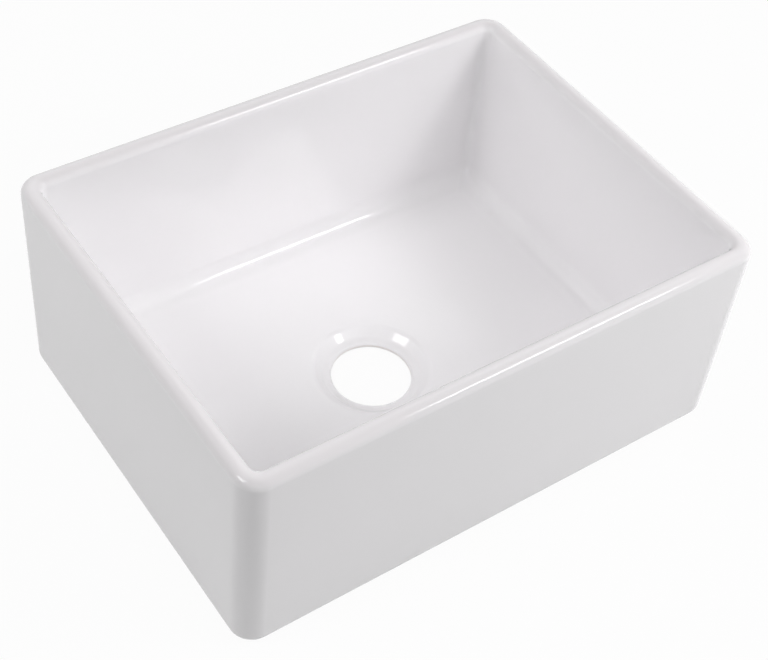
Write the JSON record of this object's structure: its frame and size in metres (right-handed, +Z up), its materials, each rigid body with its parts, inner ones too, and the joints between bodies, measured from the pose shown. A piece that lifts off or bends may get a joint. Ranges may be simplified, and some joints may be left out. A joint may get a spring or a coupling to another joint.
{
  "type": "kitchen sink",
  "caption": "Apron front kitchen sink: a deep rectangular single bowl of glazed fireclay with a falling floor, a dished drain seat and a plain flat apron.",
  "frame": {"origin": "on the plane that the foot stands on, under the axis of the drain outlet, which is the middle of the sink", "axes": "+X to the right along the apron, -Y out of the apron towards the user, +Z up"},
  "size_m": [0.61, 0.46, 0.254],
  "materials": {
    "fireclay": "unglazed biscuit, sponged",
    "white_glaze": "gloss white glaze"
  },
  "bodies": {
    "root": {"fireclay_body": "fireclay", "glaze_coat": "white_glaze"}
  },
  "joints": []
}
